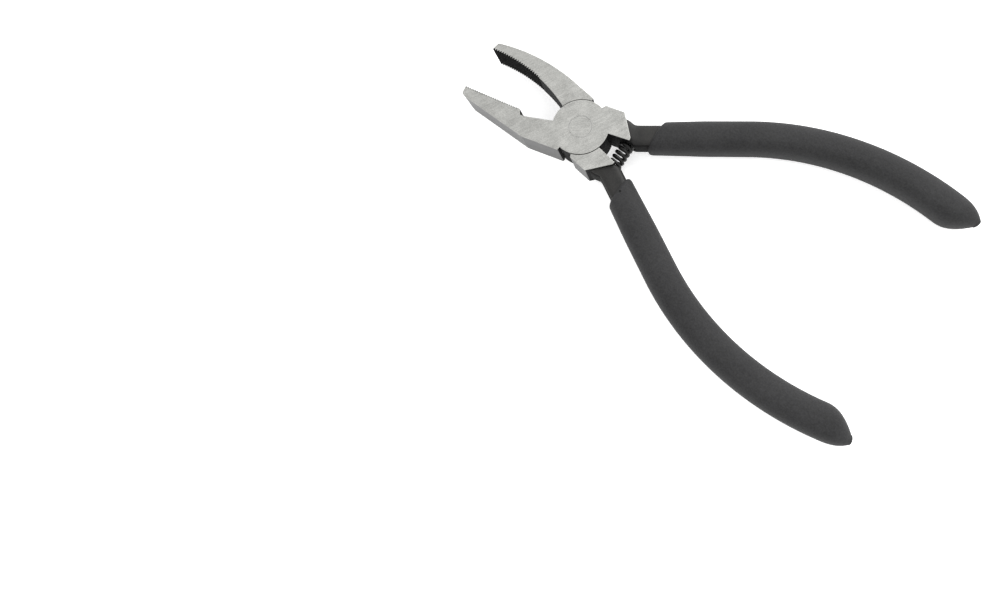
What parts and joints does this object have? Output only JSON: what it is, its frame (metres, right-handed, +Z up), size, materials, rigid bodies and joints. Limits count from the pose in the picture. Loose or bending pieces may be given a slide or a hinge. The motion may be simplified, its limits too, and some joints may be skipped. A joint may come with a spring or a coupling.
{
  "type": "grozing pliers",
  "caption": "Small grozing pliers with one straight and one curved toothed jaw, a flush riveted lap joint, a coil return spring and dipped grips.",
  "frame": {"origin": "underside of the head, on the rivet's axis", "axes": "+Z up through the joint, jaws towards -X, handles towards +X, straight jaw on the -Y side, as it rests open"},
  "size_m": [0.145, 0.0792, 0.01],
  "materials": {
    "ground_steel": "satin ground faces, black forged shanks and inner walls",
    "rivet_steel": "ground flush with the head",
    "spring_steel": "black oxide spring wire",
    "dipped_coating": "matt charcoal dipped coating with a fine orange-peel grain"
  },
  "bodies": {
    "front_handle": {"front_half": "ground_steel", "front_grip": "dipped_coating", "pivot_rivet": "rivet_steel", "return_spring": "spring_steel"},
    "back_handle": {"back_half": "ground_steel", "back_grip": "dipped_coating"}
  },
  "joints": [
    {"name": "lap_joint", "type": "hinge", "parent": "front_handle", "child": "back_handle", "pos_m": [0, 0, 0.005], "axis": [0, 0, 1], "range_deg": [-23, 20.8], "stiffness_Nm_per_rad": 1.9, "deforming": ["return_spring"]}
  ]
}
